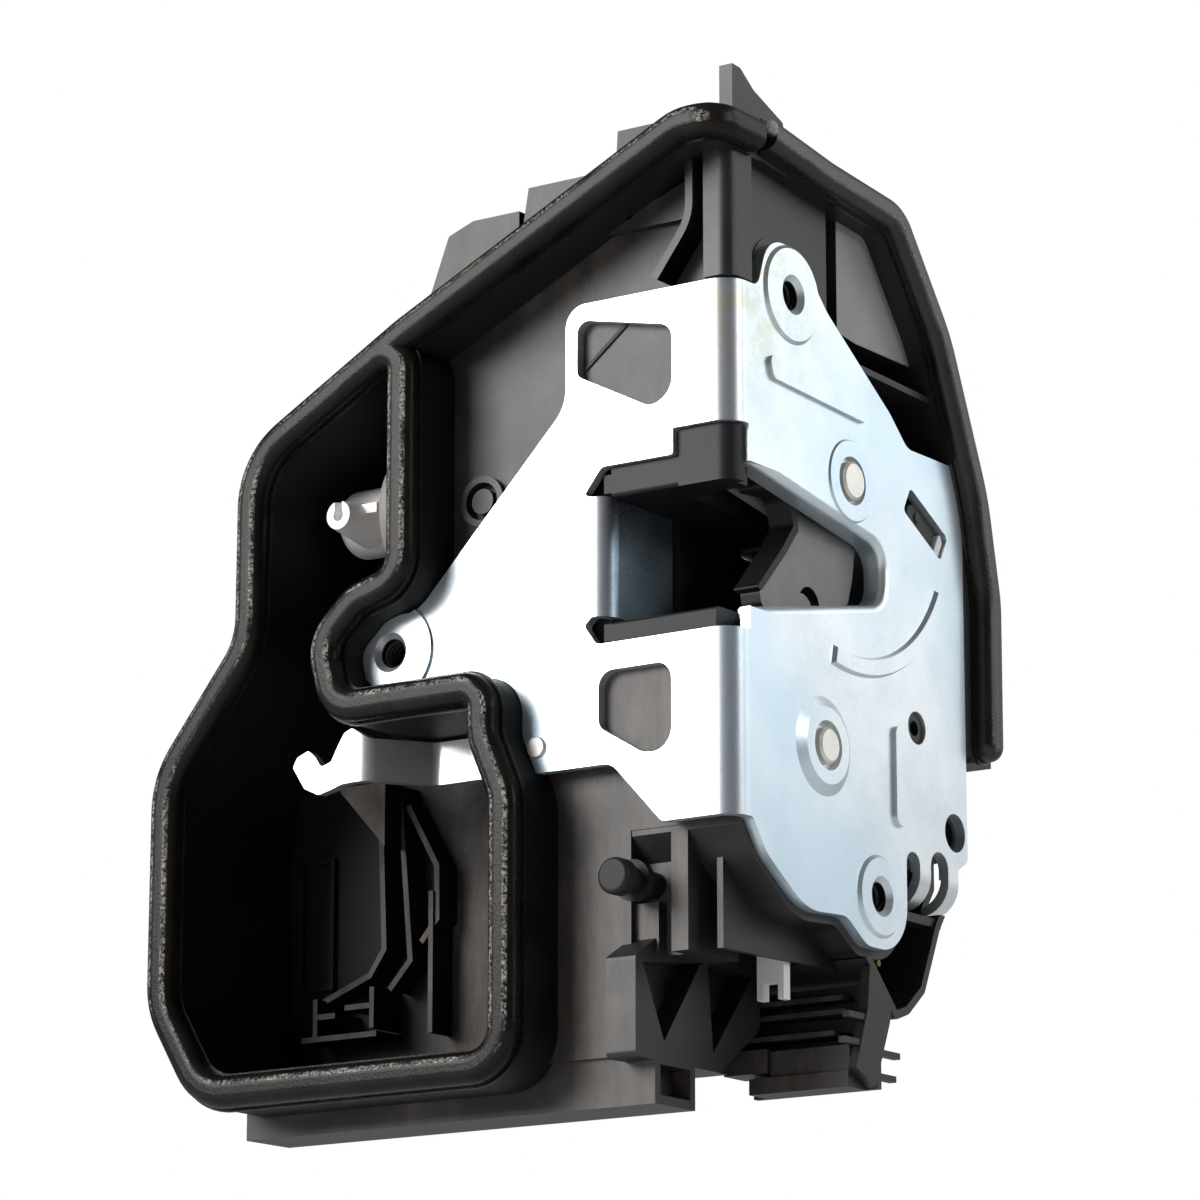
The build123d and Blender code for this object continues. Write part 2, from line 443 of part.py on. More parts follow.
    # wall between the room and the striker channel
    block((-33.0, -28.5), (ROOM_Y - 0.1, 22.5), (-14.2, 11.4))
    # motor cradle and the worm's far bearing
    for z in (13.0, 31.0):
        block((MOTOR_AT[0] - 8.0, MOTOR_AT[0] + 8.0), (ROOM_Y, MOTOR_AT[1] - 4), (z, z + 3.0))
    rod("z", MOTOR_AT, 11.6, 38, MOTOR_R + 0.02, Mode.SUBTRACT)
    block((MOTOR_AT[0] - 4, MOTOR_AT[0] + 4), (ROOM_Y, MOTOR_AT[1] + 4), (-16.0, -12.6))
    rod("z", MOTOR_AT, -17, -12, SHAFT_R + FIT, Mode.SUBTRACT)
    # cable pocket: posts, ribs, a flap and a thin frame on its floor
    for x, z, reach in ((-103.4, -77.2, 5.0), (-90.6, -76.0, -5.6)):
        block((x, x + 1.0), (18.0, POCKET_Y), (z, z + 7.4))
        block(sorted((x, x + reach)), (18.0, POCKET_Y), (z + 3.6, z + 4.6))
    block((-106.0, -89.0), (18.0, POCKET_Y), (-77.6, -76.6))
    for line in (((-90.5, -33.0), (-89.3, -61.5), (-92.5, -66.0), (-103.0, -70.0)),
                 ((-86.1, -33.0), (-83.4, -64.0), (-88.0, -69.0)),
                 ((-84.2, -35.8), (-77.6, -47.4), (-77.5, -57.0), (-81.0, -61.0))):
        with BuildSketch(Plane.XZ.offset(-POCKET_Y)) as web:
            with BuildLine():
                Polyline(*line)
            trace(line_width=1.1)
        extrude(web.sketch, amount=5.5)
    along_y([(-96.5, -32.0), (-85.6, -32.0), (-85.6, -43.8)], 15.5, 17.0)
    along_y([(-86.6, -32.0), (-85.6, -32.0), (-85.6, -43.8), (-86.6, -42.4)], 15.5, POCKET_Y)
    for r, mode in ((0.0, Mode.ADD), (-0.9, Mode.SUBTRACT)):
        along_y([(-112.3, -67.0), (-112.3, -42.6), (-104.2, -42.6), (-104.2, -67.0)], POCKET_Y - 1.2, POCKET_Y, mode, r)
    block((-79.0, -78.0), (20.0, POCKET_Y), (-77.6, -52.0))
    # slot the inside lever swings in
    block((-52, -38), (11.4, 16.4), (-46.0, -22.0), Mode.SUBTRACT)
    # cover screw pilots
    for x, z in COVER_SCREWS:
        rod("y", (x, z), CASE_Y - 9, CASE_Y + 1, 1.5, Mode.SUBTRACT)

# the moulding in two: the tub of the cable pocket, and the rest
with BuildPart() as pocket_tub:
    add(moulding.part)
    along_y(POCKET_LINE, WALL_Y - 1, POCKET_Y + SKIN, Mode.INTERSECT, grow=WALL_T / 2)

with BuildPart() as housing_body:
    add(moulding.part)
    along_y(POCKET_LINE, WALL_Y - 1, POCKET_Y + SKIN, Mode.SUBTRACT, grow=WALL_T / 2)

with BuildPart() as housing_cover:
    along_y(COVER, CASE_Y, CASE_Y + 2.6)
    along_y([(-40, 34, 3), (-32, 34, 3), (-32, 8, 3), (-40, 8, 3)], CASE_Y + 2.6, CASE_Y + 3.6)
    for x, z in COVER_SCREWS:
        rod("y", (x, z), CASE_Y - 1, CASE_Y + 4, 1.7, Mode.SUBTRACT)

with BuildPart() as cover_screws:
    for x, z in COVER_SCREWS:
        rod("y", (x, z), CASE_Y + 2.6, CASE_Y + 4.4, 2.9)
        rod("y", (x, z), CASE_Y - 8.0, CASE_Y + 2.6, 1.4)

# ---------------------------------------------------------------- lock actuator
SPIN = (MOTOR_AT[0], MOTOR_AT[1])
WORM_R = 3.9
WHEEL_Y = (14.0, 21.0)
with BuildPart() as lock_motor:
    rod("z", SPIN, 12.0, 37.6, MOTOR_R)
    rod("z", SPIN, 37.6, 39.0, 3.0)
    block((SPIN[0] - 9, SPIN[0] + 9), (SPIN[1] - 6.6, SPIN[1] + 6.6), (0, 50), Mode.INTERSECT)
    rod("z", SPIN, 11.0, 18.0, SHAFT_R + FIT, Mode.SUBTRACT)

with BuildPart() as worm:
    rod("z", SPIN, -12.4, 11.6, 2.4)
    rod("z", SPIN, -9.5, 6.0, WORM_R)
    rod("z", SPIN, -15.6, 17.0, SHAFT_R)

with BuildPart() as worm_wheel:
    rod("y", WHEEL_AT, WHEEL_Y[0], WHEEL_Y[1], WHEEL_R - 1.3)
    teeth = 28
    with BuildSketch(Plane.XZ.offset(-WHEEL_Y[1])) as tooth:
        with Locations(WHEEL_AT):
            with PolarLocations(WHEEL_R - 1.0, teeth):
                Rectangle(2.0, 0.9)
    extrude(tooth.sketch, amount=WHEEL_Y[1] - WHEEL_Y[0])
    rod("y", WHEEL_AT, ROOM_Y + KEEP, WHEEL_Y[0], 4.2)
    rod("y", (WHEEL_AT[0] - 6.0, WHEEL_AT[1]), WHEEL_Y[1], 27.2, 1.4)
    rod("y", WHEEL_AT, 0, 30, 2.0 + FIT, Mode.SUBTRACT)

with BuildPart() as wheel_pin:
    rod("y", WHEEL_AT, ROOM_Y, 23.4, 2.0)

PEG_Y = CRANK_AT[0] + 8.0
with BuildPart() as lock_crank:
    rod("x", CRANK_AT, -92.0, COLLAR_X - 0.2, 6.3)
    fillet(lock_crank.edges().sort_by(Axis.X)[0], 2.6)
    rod("x", CRANK_AT, COLLAR_X - 0.2, -61.1, CRANK_R)
    rod("y", (-85.0, 14.3), 0.0, 10.0, 2.6, r2=4.2)
    rod("y", (-85.0, 14.3), -1.0, 2.2, 1.1, Mode.SUBTRACT)
    block((-85.8, -84.2), (-1.0, 2.2), (14.3, 18.0), Mode.SUBTRACT)
    block((-83.8, -79.4), (4.0, 14.0), (CRANK_AT[1] - 0.9, CRANK_AT[1] + 0.9))
    rod("x", CRANK_AT, -61.1, -58.6, 5.0)
    block((-61.1, -58.6), (CRANK_AT[0], PEG_Y), (CRANK_AT[1] - 2.0, CRANK_AT[1] + 2.0))
    rod("x", (PEG_Y, CRANK_AT[1]), -61.1, -58.6, 2.0)
    rod("x", (PEG_Y, CRANK_AT[1]), -58.6, -54.6, 1.4)

with BuildPart() as crank_collar:
    rod("x", COLLAR_AT, COLLAR_X, COLLAR_X + 3.0, 13.8)
    fillet(crank_collar.edges().sort_by(Axis.X)[0], 1.0)
    rod("x", CRANK_AT, -90, -60, LOCK_BORE, Mode.SUBTRACT)
    block((-80, -70), (POCKET_Y - 0.1, 40), (-10, 40), Mode.SUBTRACT)

with BuildPart() as lock_slider:
    block((-59.8, -52.6), (24.4, BOARD_Y - KEEP), (-7.0, 12.0))
    block((-58.2, -55.0), (18.2, BOARD_Y - KEEP), (CRANK_AT[1] - 4.4, CRANK_AT[1] + 4.4))
    block((-60, -50), (18.0, 24.2), (CRANK_AT[1] - 1.6, CRANK_AT[1] + 1.6), Mode.SUBTRACT)
    block((-58.8, -53.6), (20, 30), (WHEEL_AT[1] - 1.6, WHEEL_AT[1] + 1.6), Mode.SUBTRACT)

with BuildPart() as circuit_carrier:
    along_y([(-61.5, 39.5, 2), (-28.6, 39.5, 2), (-28.6, -20.2), (-61.5, -20.2, 2)], BOARD_Y, BOARD_Y + 1.6, grow=-0.2)
    for x, z in ((-45.0, 36.5), (-31.0, -17.0)):
        rod("y", (x, z), BOARD_Y + 1.6, CASE_Y, 1.6)

with BuildPart() as switches:
    for x in (-58.0, -40.0):
        block((x, x + 8.0), (23.2, BOARD_Y), (-19.4, -14.4))
        block((x + 3.0, x + 5.0), (22.6, 23.2), (-18.0, -16.0))

# ---------------------------------------------------------------- inside lever
with BuildPart() as inside_lever:
    with BuildSketch(Plane.XY.offset(-40)) as strip:
        with BuildLine():
            outline((-98.0, 3.0), (-80.5, 3.0, 3), (-72.5, 14.0, 3), (-31.0, 14.0), closed=False)
        trace(line_width=2.0)
    extrude(strip.sketch, amount=20)
    with BuildSketch(Plane.XZ.offset(-30)) as hook:
        with BuildLine():
            outline((-96.1, -30.5, 0.5), (-95.2, -28.8, 0.7), (-92.7, -27.8, 0.7), (-91.1, -29.1, 0.7), (-89.8, -31.1, 0.8),
                    (-87.5, -30.4, 0.8), (-86.0, -27.7, 0.9), (-84.6, -25.5, 0.8), (-82.9, -24.8, 0.8), (-79.5, -26.9, 1),
                    (-36.0, -26.9), (-36.0, -31.0, 2), (-42.0, -34.6, 3), (-82.7, -34.6), (-85.0, -34.7, 1),
                    (-87.7, -35.5, 1), (-90.3, -36.1, 1), (-93.5, -34.6, 1.4))
        make_face()
        with Locations(LEVER_AT):
            Circle(4.7)
    extrude(hook.sketch, amount=40, mode=Mode.INTERSECT)
    rod("y", LEVER_AT, 10, 20, 2.5 + FIT, Mode.SUBTRACT)

with BuildPart() as lever_pin:
    rod("y", LEVER_AT, ROOM_Y, 18.0, 2.5)
    rod("y", LEVER_AT, ROOM_Y, 12.8, 3.4)
    rod("y", LEVER_AT, 15.2, 16.6, 3.4)

# ---------------------------------------------------------------- lower pieces
with BuildPart() as bumper_stud:
    rod("y", (-21.8, -58.7), -5.0, -2.0, 3.2)
    fillet(bumper_stud.edges().sort_by(Axis.Y)[0], 0.8)
    rod("y", (-21.8, -58.7), -2.0, 8.0, 2.3)
    rod("y", (-21.8, -58.7), 1.0, 2.6, 3.6)

with BuildPart() as nylon_tab:
    block((-14.8, -9.3), (29.0, 31.0), (-76.5, -62.0))
    block((-13.6, -10.5), (28.0, 32.0), (-77.0, -73.6), Mode.SUBTRACT)
    along_x(BLOCK_OUTLINE, BLOCK_X, RIM_X, Mode.SUBTRACT, grow=0.02)

with BuildPart() as harness_guide:
    block((-26.0, -24.4), (38.0, 46.5), (-84.0, -71.8))
    block((-26.0, -0.6), (45.0, 46.5), (-91.0, -72.6))
    for z, right, front in ((-75.6, -5.0, 41.0), (-78.2, -4.0, 40.0), (-82.0, -5.4, 39.0)):
        block((-26.0, right), (front, 45.0), (z, z + 0.9))
    block((-27.7, -18.6), (38.0, 45.0), (-87.6, -83.4))
    block((-18.6, -2.4), (39.0, 45.0), (-88.8, -83.8))
    block((-22.7, -2.4), (38.4, 45.0), (-91.2, -88.4))
    along_x([(43.2, -69.8), (45.5, -71.8), (50.0, -76.4), (49.6, -79.0), (44.6, -90.8), (38.4, -88.0), (42.4, -77.0)],
            -2.4, -0.6)
    for y0, y1, z in ((36.6, 42.0, -79.4), (35.2, 41.0, -84.0), (46.0, 53.2, -85.0), (44.6, 51.8, -89.2)):
        block((-2.2, -0.8), (y0, y1), (z, z + 1.1))

SHELL = [(50.0, -62.0), (57.0, -44.0), (74.0, -44.0), (74.0, -51.5, 1), (68.0, -60.0, 3), (62.5, -72.0, 2),
         (57.0, -76.5, 2), (52.6, -78.0, 1), (43.0, -68.3)]
with BuildPart() as connector_shell:
    along_x(SHELL, -24.0, -1.2)
    along_x(SHELL, -22.0, 0, Mode.SUBTRACT, grow=-1.5)
    block((-22.0, -1.8), (55.0, 69.4), (-59.6, -58.0))
    along_x(BLOCK_OUTLINE, BLOCK_X - 1, 5, Mode.SUBTRACT, grow=0.05)
    block((-5.8, 5), (50.0, 76.0), (-57.2, -40.0), Mode.SUBTRACT)

with BuildPart() as contact_pins:
    for y, z in ((61.5, -55.0), (66.5, -55.0), (58.3, -62.4), (58.3, -66.6)):
        rod("x", (y, z), -22.0, -8.0, 0.6)

# ---------------------------------------------------------------- seals
BEAD_ROUND = 2.3


def bead_profile(plane, half=False):
    """Bead section: lip on the plane's origin, crest along the plane's local Y."""
    with BuildSketch(plane) as section:
        with Locations((0, LIP_T / 2)):
            Rectangle(LIP_W, LIP_T)
        with Locations((0, BEAD_H / 2)):
            Rectangle(BEAD_W, BEAD_H)
        fillet(section.vertices().group_by(Axis.Y)[-1], BEAD_ROUND)
        if half:
            with Locations((-LIP_W, 0)):
                Rectangle(2 * LIP_W, 4 * BEAD_H, mode=Mode.SUBTRACT)
    return section.sketch


def pocket_band(width):
    """Band of a given width along the pocket's closed line, on the seal wall's top."""
    with BuildSketch(Plane.XZ.offset(-WALL_Y)) as band:
        with BuildLine():
            outline(*POCKET_LINE)
        make_face()
        inside = offset(amount=-width / 2, kind=Kind.ARC, mode=Mode.PRIVATE)
        offset(amount=width / 2, kind=Kind.ARC)
        add(inside, mode=Mode.SUBTRACT)
    return band.sketch


with BuildPart() as side_seal:
    for width, height in ((LIP_W, LIP_T), (BEAD_W, BEAD_H)):
        with BuildSketch(Plane.XZ.offset(-WALL_Y)) as band:
            with BuildLine():
                outline(*SLANT, closed=False)
            trace(line_width=width)
            add(pocket_band(width))
        extrude(band.sketch, amount=height)
    fillet(side_seal.edges().filter_by(lambda e: abs(e.center().Y - (WALL_Y - BEAD_H)) < 1e-3
                                       and abs(e.center().X + POST_R) > 1e-3), BEAD_ROUND)
    # wrapped round the corner post, with a rounded end
    height = SLANT[-1][1]
    corner = Plane(origin=(-POST_R, WALL_Y, height), x_dir=(0, 0, 1), z_dir=(1, 0, 0))
    revolve(bead_profile(corner), axis=Axis((-POST_R, WALL_Y + POST_R, 0), (0, 0, 1)), revolution_arc=90)
    side = Plane(origin=(0, WALL_Y + POST_R, height), x_dir=(0, 0, 1), z_dir=(0, 1, 0))
    extrude(bead_profile(side), amount=5.4 - (WALL_Y + POST_R))
    tip = Plane(origin=(0, 5.4, height), x_dir=(0, 0, 1), z_dir=(0, 1, 0))
    revolve(bead_profile(tip, half=True), axis=Axis((0, 5.4, height), (1, 0, 0)), revolution_arc=180)

with BuildPart() as end_seal:
    for width, height in ((LIP_W, LIP_T), (BEAD_W, BEAD_H)):
        with BuildSketch(Plane.YZ.offset(SEAL_X)) as ring:
            with BuildLine():
                outline(*ARCH, closed=False)
            trace(line_width=width)
            with Locations(ARCH[-1]):
                Circle(width / 2)
        extrude(ring.sketch, amount=height)
    fillet(end_seal.edges().filter_by(lambda e: abs(e.center().X - BEAD_H) < 1e-3 and e.center().Y > ARCH[0][0] + 0.1),
           BEAD_ROUND)

NODES = ["latch_plate", "back_plate", "claw_pin", "pawl_pin", "flange_rivet", "claw", "claw_cover", "pawl",
         "claw_spring", "pawl_spring", "mouth_guide", "housing_body", "pocket_tub", "housing_cover", "cover_screws", "lock_motor",
         "worm", "worm_wheel", "wheel_pin", "lock_crank", "crank_collar", "lock_slider", "circuit_carrier", "switches",
         "inside_lever", "lever_pin", "bumper_stud", "nylon_tab", "harness_guide", "connector_shell", "contact_pins",
         "side_seal", "end_seal"]
os.makedirs("parts", exist_ok=True)
for node in NODES:
    piece = globals()[node].part
    piece.label = node
    export_step(piece, f"parts/{node}.step")
    print(node, len(piece.solids()), round(piece.volume), piece.is_valid)
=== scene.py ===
"""Looks of the vehicle door latch actuator: materials, small details, camera and studio."""
import math

import bmesh
import bpy
from mathutils import Matrix, Vector


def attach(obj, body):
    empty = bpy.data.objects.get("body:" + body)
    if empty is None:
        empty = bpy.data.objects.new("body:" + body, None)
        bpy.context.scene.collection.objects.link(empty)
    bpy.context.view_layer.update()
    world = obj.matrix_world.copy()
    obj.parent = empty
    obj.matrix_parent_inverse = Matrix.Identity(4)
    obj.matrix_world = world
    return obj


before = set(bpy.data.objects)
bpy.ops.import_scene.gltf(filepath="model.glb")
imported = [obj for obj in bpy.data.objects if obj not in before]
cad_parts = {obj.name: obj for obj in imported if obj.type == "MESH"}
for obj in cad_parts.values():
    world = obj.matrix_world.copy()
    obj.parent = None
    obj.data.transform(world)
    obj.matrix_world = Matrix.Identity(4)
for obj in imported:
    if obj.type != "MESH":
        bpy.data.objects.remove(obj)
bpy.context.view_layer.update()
MM = 0.001
S = bpy.context.scene

# tapped holes of the latch plate, in millimetres
END_HOLES = {"thread_top": (18.8, 45.5), "thread_low": (45.8, -57.3)}   # Y, Z
SIDE_HOLE = (-72.5, -12.8)                                              # X, Z
THREAD_R = 2.5
BORE_SHADE_R = 2.62
PLATE_BACK = 5.2
THREAD_LENGTH = 4.4


# ---------------------------------------------------------------- materials
class Mat:
    """Small wrapper round a principled material's nodes."""

    def __init__(self, name, base, rough=0.5, metal=0.0, spec=0.5):
        self.m = bpy.data.materials.new(name)
        self.m.use_nodes = True
        self.nt = self.m.node_tree
        self.p = self.nt.nodes["Principled BSDF"]
        self.p.inputs["Base Color"].default_value = (*base, 1)
        self.p.inputs["Roughness"].default_value = rough
        self.p.inputs["Metallic"].default_value = metal
        self.p.inputs["Specular IOR Level"].default_value = spec
        self.co = self.add("ShaderNodeTexCoord").outputs["Object"]

    def add(self, kind, **settings):
        n = self.nt.nodes.new(kind)
        for key, v in settings.items():
            setattr(n, key, v)
        return n

    def link(self, a, b):
        self.nt.links.new(a, b)

    def noise(self, scale, detail=4.0, rough=0.6, stretch=None):
        n = self.add("ShaderNodeTexNoise")
        n.inputs["Scale"].default_value = scale
        n.inputs["Detail"].default_value = detail
        n.inputs["Roughness"].default_value = rough
        source = self.co
        if stretch:
            turned = self.add("ShaderNodeMapping")
            turned.inputs["Scale"].default_value = stretch
            turned.inputs["Rotation"].default_value = (0.3, 0.2, 0.5)
            self.link(self.co, turned.inputs["Vector"])
            source = turned.outputs["Vector"]
        self.link(source, n.inputs["Vector"])
        return n.outputs["Fac"]

    def ramp(self, fac, stops):
        """Colour between two stops, each (place, colour)."""
        r = self.add("ShaderNodeValToRGB")
        for element, (place, colour) in zip(r.color_ramp.elements, stops):
            element.position = place
            element.color = (*colour, 1)
        self.link(fac, r.inputs["Fac"])
        return r.outputs["Color"]

    def greys(self, fac, *stops):
        """Grey between two stops, each (place, level), to be used as a mask."""
        return self.ramp(fac, [(place, (level,) * 3) for place, level in stops])

    def mix(self, fac, a, b):
        n = self.add("ShaderNodeMix", data_type="RGBA")
        for sock, v in ((n.inputs[0], fac), (n.inputs[6], a), (n.inputs[7], b)):
            if isinstance(v, bpy.types.NodeSocket):
                self.link(v, sock)
            else:
                sock.default_value = (*v, 1)
        return n.outputs[2]

    def math(self, op, a, b=None, c=None):
        n = self.add("ShaderNodeMath", operation=op)
        for sock, v in zip(n.inputs, (a, b, c)):
            if isinstance(v, bpy.types.NodeSocket):
                self.link(v, sock)
            elif v is not None:
                sock.default_value = v
        return n.outputs[0]

    def product(self, first, *rest):
        for factor in rest:
            first = self.math("MULTIPLY", first, factor)
        return first

    def largest(self, first, *rest):
        for other in rest:
            first = self.math("MAXIMUM", first, other)
        return first

    def color(self, out):
        self.link(out, self.p.inputs["Base Color"])

    def rough(self, fac, lo, hi):
        r = self.add("ShaderNodeMapRange")
        r.inputs["To Min"].default_value = lo
        r.inputs["To Max"].default_value = hi
        self.link(fac, r.inputs["Value"])
        self.link(r.outputs["Result"], self.p.inputs["Roughness"])

    def bump(self, height, strength, dist):
        b = self.add("ShaderNodeBump")
        b.inputs["Strength"].default_value = strength
        b.inputs["Distance"].default_value = dist
        self.link(height, b.inputs["Height"])
        self.link(b.outputs["Normal"], self.p.inputs["Normal"])

    def rise(self, value, lo, hi):
        """0 to 1 as a value goes from lo to hi, clamped."""
        r = self.add("ShaderNodeMapRange")
        r.inputs["From Min"].default_value = lo
        r.inputs["From Max"].default_value = hi
        self.link(value, r.inputs["Value"])
        return r.outputs["Result"]

    def position(self, axis):
        s = self.add("ShaderNodeSeparateXYZ")
        self.link(self.co, s.inputs[0])
        return s.outputs[axis]

    def span(self, axis, lo, hi):
        """0 to 1 between two places, in millimetres, along one of the part's axes."""
        return self.rise(self.position(axis), lo * MM, hi * MM)

    def around(self, axes, centre, r):
        """1 within r of an axis through the part, in millimetres."""
        square = 0.0
        for axis, c in zip(axes, centre):
            off = self.math("SUBTRACT", self.position(axis), c * MM)
            square = self.math("MULTIPLY_ADD", off, off, square)
        return self.math("LESS_THAN", square, (r * MM) ** 2)

    def facing(self, direction, lo, hi):
        """0 to 1 as the surface's own normal turns towards a fixed direction."""
        g = self.add("ShaderNodeNewGeometry")
        d = self.add("ShaderNodeVectorMath", operation="DOT_PRODUCT")
        self.link(g.outputs["Normal"], d.inputs[0])
        d.inputs[1].default_value = Vector(direction).normalized()
        return self.rise(d.outputs["Value"], lo, hi)


def dust_and_painted_light(m, col, cloud, spec, dust_and_sheen, deep):
    """Black mouldings: dust and painted sheen on outer faces turned towards -Y, a painted highlight on the arch's
    panel, painted shade in the arch's depth and painted light on the pocket's floor.
    """
    painted_highlight_grey, painted_shade_black, painted_light_floor_grey = (0.34, 0.336, 0.32), (0.003, 0.003, 0.003), (0.21, 0.19, 0.165)
    # dust and painted sheen: brown, in streaks, on outer faces turned towards -Y
    dust_and_sheen_brown = (0.17, 0.142, 0.12)
    dust_sheen_mask = m.product(m.facing((-0.35, -1, 0.1), 0.86, 0.97),
                       m.greys(m.noise(24, 6, 0.66), (0.38, 0), (0.66, 1)))
    streaks = m.greys(m.noise(75, 5, 0.7, stretch=(3, 3, 0.7)), (0.3, 0.25), (0.7, 1))

    # painted highlight: the arch's panel is painted pale grey where it catches the light
    panel = m.product(m.facing((1, 0, 0), 0.9, 0.98), m.span("X", -4.2, -3.8), m.span("X", -2.6, -3.0),
                      m.span("Z", 43, 44), m.greys(cloud, (0.2, 0.5), (0.7, 1)))
    col = m.mix(panel, col, painted_highlight_grey)

    # painted shade: the arch's depth is painted near black, with less specular
    shade = m.product(m.facing((1, 0, 0), 0.3, 0.7), m.span("X", -7.5, -9.5), m.span("Z", 38, 40))
    m.link(m.math("MULTIPLY_ADD", shade, -spec * 0.9, spec), m.p.inputs["Specular IOR Level"])
    col = m.mix(shade, col, painted_shade_black)

    if deep:
        # in the pocket, dust and painted sheen stay on the rib edges in front and towards +X
        dust_sheen_mask = m.product(dust_sheen_mask, m.largest(m.span("X", -84, -76), m.span("Y", 24, 21)))
        # painted light: one side of the pocket's floor is painted grey, in streaks, where it is lit
        sheen_and_wear = m.product(m.facing((0, -1, 0), 0.9, 0.98), m.span("X", -82, -74), m.span("Y", 30, 34), streaks)
        col = m.mix(sheen_and_wear, col, painted_light_floor_grey)
    return m.mix(m.product(dust_sheen_mask, streaks, dust_and_sheen), col, dust_and_sheen_brown)


def plastic(name, dark, light, rough=(0.34, 0.6), grain=1600, bump=0.15, spec=0.5, dust_and_sheen=0.0, deep=False):
    """Moulded plastic: clouded base and fine grain, with dust and painted sheen where it is asked for."""
    m = Mat(name, dark, spec=spec)
    cloud = m.noise(30, 5, 0.62)
    fine = m.noise(grain, 3, 0.7)
    col = m.mix(m.greys(fine, (0.45, 0), (0.8, 0.3)), m.ramp(cloud, ((0.32, dark), (0.70, light))), light)
    if dust_and_sheen:
        col = dust_and_painted_light(m, col, cloud, spec, dust_and_sheen, deep)
    m.color(col)
    m.rough(cloud, *rough)
    m.bump(m.math("ADD", fine, m.math("MULTIPLY", cloud, 3.0)), bump, 0.00006)
    return m


def bend_shade_band(m, col, shade_band):
    """Painted shade: a darker, grainy band on faces turned towards (1, -1, 0) along the plate's bend, and a dark
    inner side of the tab in the mouth.
    """
    painted_shade_grey, tab_shade_blue = (0.50, 0.485, 0.512), (0.022, 0.027, 0.045)
    speck = m.greys(m.noise(3600, 3, 0.75), (0.46, 1), (0.68, 0.62))
    bend = m.product(m.facing((1, -1, 0), 0.76, 0.93), m.largest(m.span("Y", 6.4, 5.6), m.span("X", -58, -60)))
    col = m.mix(m.product(bend, speck, shade_band), col, painted_shade_grey)
    # painted shade: the inner side of the tab in the mouth is painted dark blue, grainy
    tab = m.product(m.facing((1, 0, 0), 0.5, 0.9), m.span("X", -22, -25),
                    m.span("Z", -13, -12.5), m.span("Z", 10.5, 10))
    return m.mix(m.product(tab, speck), col, tab_shade_blue)


def plate_stains_and_shade(m, col):
    """Yellow stain in the plate's upper corner, blue clouds of the coating, painted shade in the tapped bores."""
    yellow, blue, bore_shade_black = (0.56, 0.50, 0.28), (0.50, 0.68, 0.80), (0.03, 0.029, 0.028)
    patch = m.product(m.span("Z", 20, 38.33), m.span("Y", 35, 1.67),
                      m.greys(m.noise(140, 5, 0.7), (0.44, 0), (0.58, 1)), 0.7)
    col = m.mix(patch, col, yellow)
    col = m.mix(m.greys(m.noise(22, 4, 0.55), (0.42, 0), (0.66, 0.6)), col, blue)
    # painted shade: the plate is painted near black within the tapped bores
    bores = [m.around("YZ", at, BORE_SHADE_R) for at in END_HOLES.values()]
    return m.mix(m.largest(*bores, m.around("XZ", SIDE_HOLE, BORE_SHADE_R)), col, bore_shade_black)


def zinc(name, tint, shade, stain_and_shade=False, rough=(0.26, 0.44), metal=0.8, shade_band=0.0):
    """Plated or bare steel: clouded tint, bright flakes, drawn lines in the roughness."""
    m = Mat(name, tint, metal=metal)
    cloud = m.noise(60, 6, 0.6)
    flakes = m.noise(2200, 3, 0.7)
    lines = m.noise(260, 3, 0.6, stretch=(1, 6, 9))
    brighter = tuple(min(1, c * 1.15) for c in tint)
    col = m.mix(m.greys(flakes, (0.48, 0), (0.7, 0.55)), m.ramp(cloud, ((0.28, shade), (0.6, tint))), brighter)
    if shade_band:
        col = bend_shade_band(m, col, shade_band)
    if stain_and_shade:
        col = plate_stains_and_shade(m, col)
    m.color(col)
    m.rough(lines, *rough)
    m.bump(m.math("ADD", m.math("MULTIPLY", lines, 0.6), flakes), 0.22, 0.00005)
    return m


def rubber(name, lines, chalk_and_highlight=0.7, fine=1500, spec=0.15):
    """Sealing strip: near-black skin with a chalky broken line, partly a painted highlight, along the crest where
    it is rubbed.
    """
    m = Mat(name, (0.012, 0.010, 0.009), spec=spec)
    cloud = m.noise(90, 5, 0.65)
    grain = m.noise(1800, 3, 0.75)
    col = m.ramp(cloud, ((0.3, (0.004, 0.004, 0.004)), (0.75, (0.017, 0.014, 0.012))))
    # chalk and painted highlight: pale broken line where the normal turns towards given directions
    sheen_and_wear = m.largest(m.facing(lines[0], 0.962, 0.988), *[m.facing(line, 0.968, 0.99) for line in lines[1:]])
    sheen_and_wear = m.product(sheen_and_wear, m.greys(m.noise(fine, 4, 0.85), (0.47, 0), (0.56, 1)),
                     m.greys(m.noise(110, 4, 0.7), (0.36, 0), (0.54, 1)), chalk_and_highlight)
    m.color(m.mix(sheen_and_wear, col, (0.50, 0.47, 0.42)))
    m.rough(cloud, 0.20, 0.36)
    m.bump(m.math("ADD", grain, m.math("MULTIPLY", cloud, 2.0)), 0.45, 0.00012)
    return m


def leaf(name):
    """Claw: its lower leaf shows grey in the mouth, the rest is painted in shade, near black."""
    m = Mat(name, (0.03, 0.03, 0.03), rough=0.5, metal=0.2)
    cloud = m.noise(90, 5, 0.65)
    low = m.product(m.span("Z", 9, 5), m.facing((1, 0, 0), 0.7, 0.95))
    tone = m.ramp(cloud, ((0.3, (0.17, 0.167, 0.162)), (0.7, (0.25, 0.245, 0.238))))
    # painted shade: all but the lower leaf facing +X is painted near black, shadowed by the plate
    m.color(m.mix(low, (0.018, 0.018, 0.019), tone))
    m.rough(cloud, 0.42, 0.62)
    m.bump(m.noise(2000, 3, 0.7), 0.3, 0.00005)
    return m


